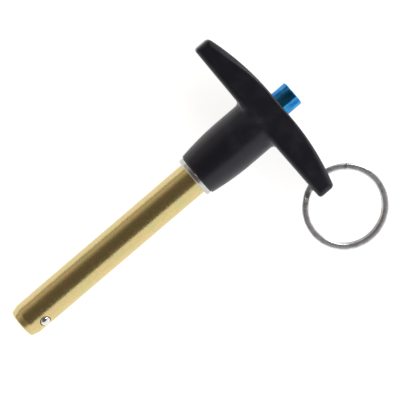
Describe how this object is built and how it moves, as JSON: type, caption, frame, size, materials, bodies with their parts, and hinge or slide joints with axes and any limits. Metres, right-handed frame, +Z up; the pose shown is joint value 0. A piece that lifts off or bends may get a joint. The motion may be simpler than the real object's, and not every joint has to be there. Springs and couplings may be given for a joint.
{
  "type": "ball lock pin",
  "caption": "Quick-release pin: a steel shank with sprung locking balls, a T handle, a push button and a split ring for a lanyard.",
  "frame": {"origin": "on the shank's axis, under the shoulder washer, where the gripped stack of plates starts", "axes": "+X along the pin towards the button, level with the table; +Z up from the table it lies on; -Y towards the arm that carries the ring. The shank's axis rises 2.09 degrees from tip to button, because the pin lies on its tip, its barrel and one arm"},
  "size_m": [0.1326, 0.0943, 0.0207],
  "materials": {
    "black_moulding": "black satin moulding",
    "yellow_zinc": "yellow zinc plate over turned steel",
    "bright_zinc": "bright zinc plate",
    "spindle_steel": "ground steel",
    "blue_anodised": "blue anodised aluminium",
    "spring_steel": "bright spring wire",
    "ring_steel": "tumbled stainless steel",
    "ball_steel": "polished bearing steel"
  },
  "bodies": {
    "pin_body": {"t_handle": "black_moulding", "shank": "yellow_zinc", "shoulder_washer": "bright_zinc", "return_spring": "spring_steel"},
    "plunger": {"release_button": "blue_anodised", "spindle": "spindle_steel"},
    "front_ball": {"locking_ball_front": "ball_steel"},
    "rear_ball": {"locking_ball_rear": "ball_steel"},
    "ring": {"split_ring": "ring_steel"}
  },
  "joints": [
    {"name": "button_press", "type": "slide", "parent": "pin_body", "child": "plunger", "axis": [-0.9993, 0, -0.0364], "range_m": [0, 0.0045], "stiffness_N_per_m": 1500, "springref_m": -0.004, "deforming": ["return_spring"]},
    {"name": "front_ball_drop", "type": "slide", "parent": "pin_body", "child": "front_ball", "axis": [0.0242, 0.7487, -0.6625], "range_m": [0, 0.0012]},
    {"name": "rear_ball_drop", "type": "slide", "parent": "pin_body", "child": "rear_ball", "axis": [-0.0242, -0.7487, 0.6625], "range_m": [0, 0.0012]},
    {"name": "ring_swing", "type": "hinge", "parent": "pin_body", "child": "ring", "pos_m": [0.03519, -0.02947, -0.00154], "axis": [-0.9993, 0, -0.0364], "range_deg": [-142.15, 157.85]}
  ],
  "couplings": [
    {"joint": "front_ball_drop", "follows": "button_press", "ratio": 0.26666},
    {"joint": "rear_ball_drop", "follows": "button_press", "ratio": 0.26666}
  ]
}
